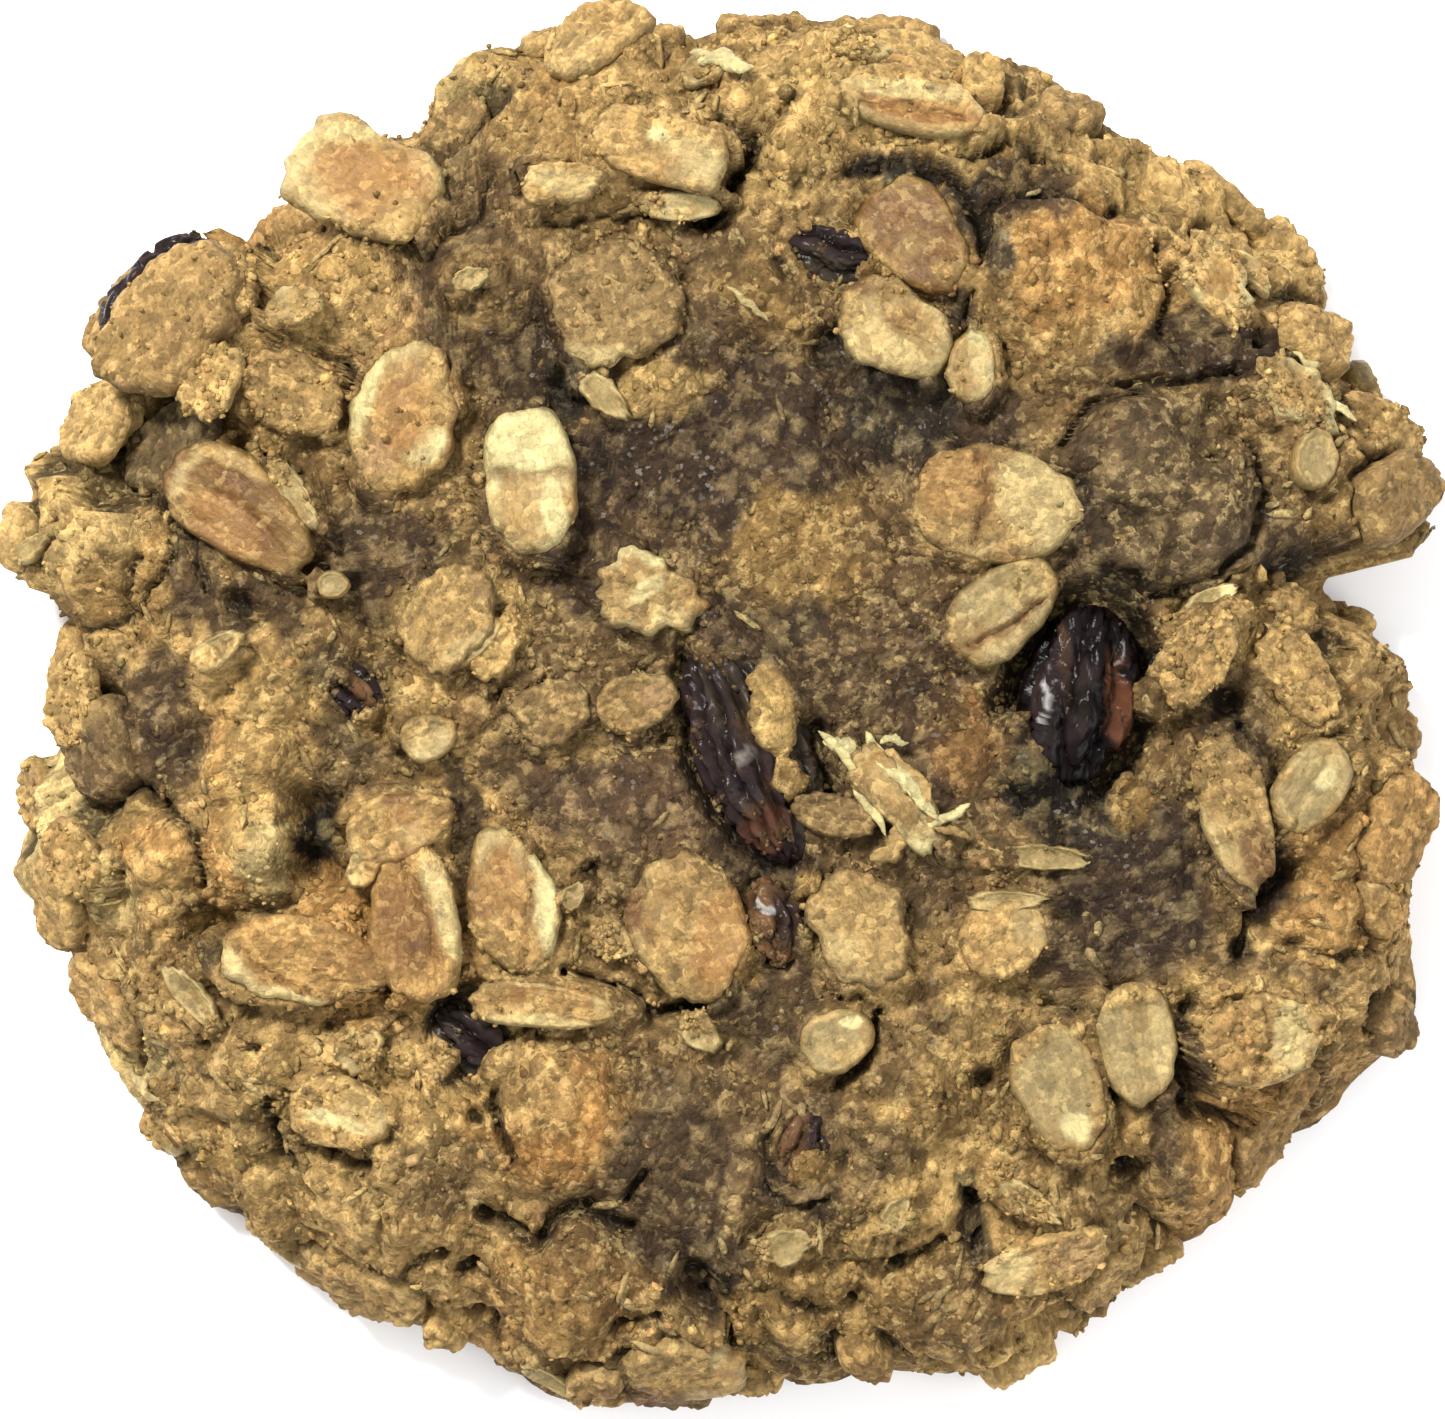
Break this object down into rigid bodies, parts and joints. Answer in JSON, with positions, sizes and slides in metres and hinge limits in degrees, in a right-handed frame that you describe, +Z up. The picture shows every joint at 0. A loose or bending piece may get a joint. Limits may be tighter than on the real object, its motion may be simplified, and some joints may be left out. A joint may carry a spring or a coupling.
{
  "type": "oatmeal raisin cookie",
  "caption": "Round, thick baked cookie with a lumpy crust, oat flakes baked into it, and raisins set in open sockets; it lies on a flat underside.",
  "frame": {"origin": "centre of the cookie's bounding box in plan, on the plane that its underside lies on", "axes": "+Z up out of the top crust, along the thickness; +Y towards the top of the plan view, +X to its right"},
  "size_m": [0.0771, 0.0765, 0.0147],
  "materials": {
    "crust": "baked, crumbly and matte",
    "raisin": "wrinkled, half glossy skin",
    "raisin_light": "glossy amber-brown skin"
  },
  "bodies": {
    "root": {"cookie": "crust", "raisin_right": "raisin", "raisin_middle": "raisin", "raisin_amber": "raisin_light", "raisin_rim": "raisin", "raisin_lower_left": "raisin", "raisin_upper_right": "raisin", "raisin_left": "raisin_light", "raisin_lower": "raisin"}
  },
  "joints": []
}
